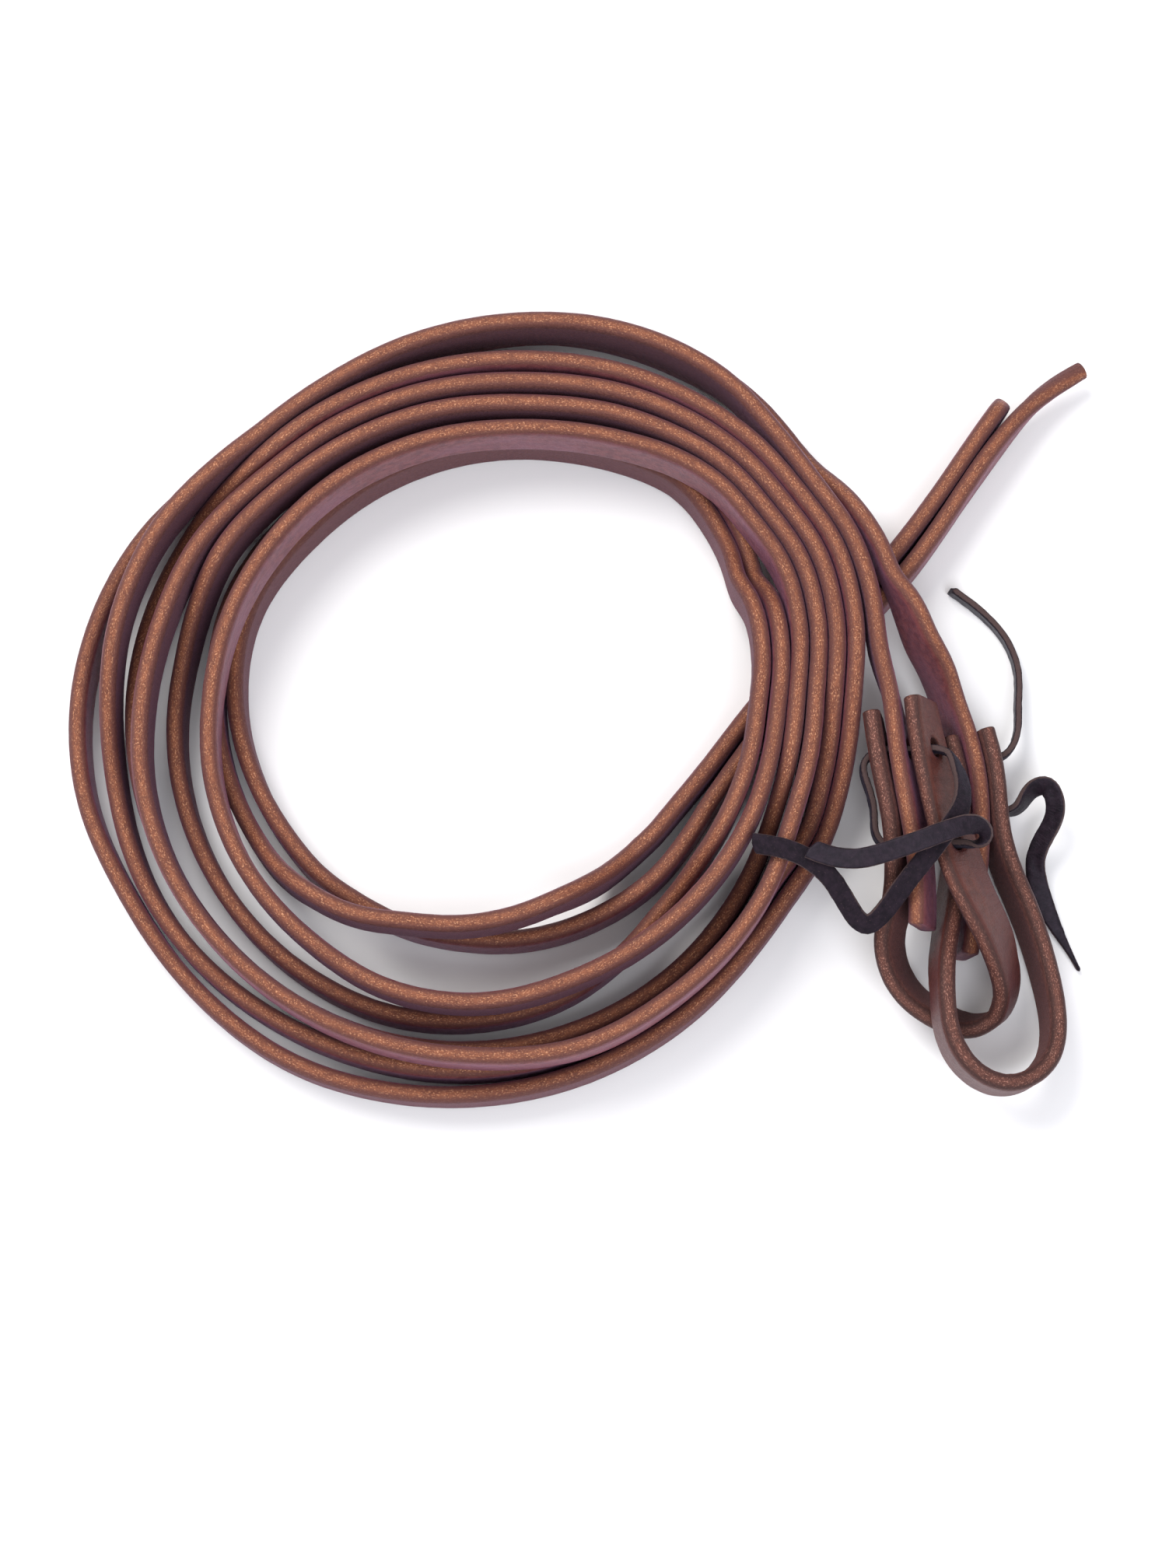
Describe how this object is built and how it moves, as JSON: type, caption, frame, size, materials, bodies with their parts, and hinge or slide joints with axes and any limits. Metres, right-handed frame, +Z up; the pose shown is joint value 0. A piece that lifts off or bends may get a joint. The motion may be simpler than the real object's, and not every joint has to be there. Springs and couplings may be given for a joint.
{
  "type": "leather reins",
  "caption": "Pair of long split leather reins coiled together on edge, each with a folded bit loop laced to its end by a knotted tie string, for steering a horse.",
  "frame": {"origin": "centre of the bounding box in plan, on the surface the coil lies on", "axes": "+Z up through the coil; +X along the coil's longest side, from the bare laps towards the bit ends; +Y to the left of that"},
  "size_m": [0.2738, 0.2138, 0.0412],
  "materials": {
    "harness_leather": "satin grain face, burnished edge",
    "bit_end_leather": "satin, darkened by handling",
    "latigo_lace": "waxy sheen"
  },
  "bodies": {
    "root": {"rein_a_strap": "harness_leather", "rein_b_strap": "harness_leather", "rein_a_bit_loop": "bit_end_leather", "rein_b_bit_loop": "bit_end_leather", "rein_a_tie_string": "latigo_lace", "rein_b_tie_string": "latigo_lace"}
  },
  "joints": []
}
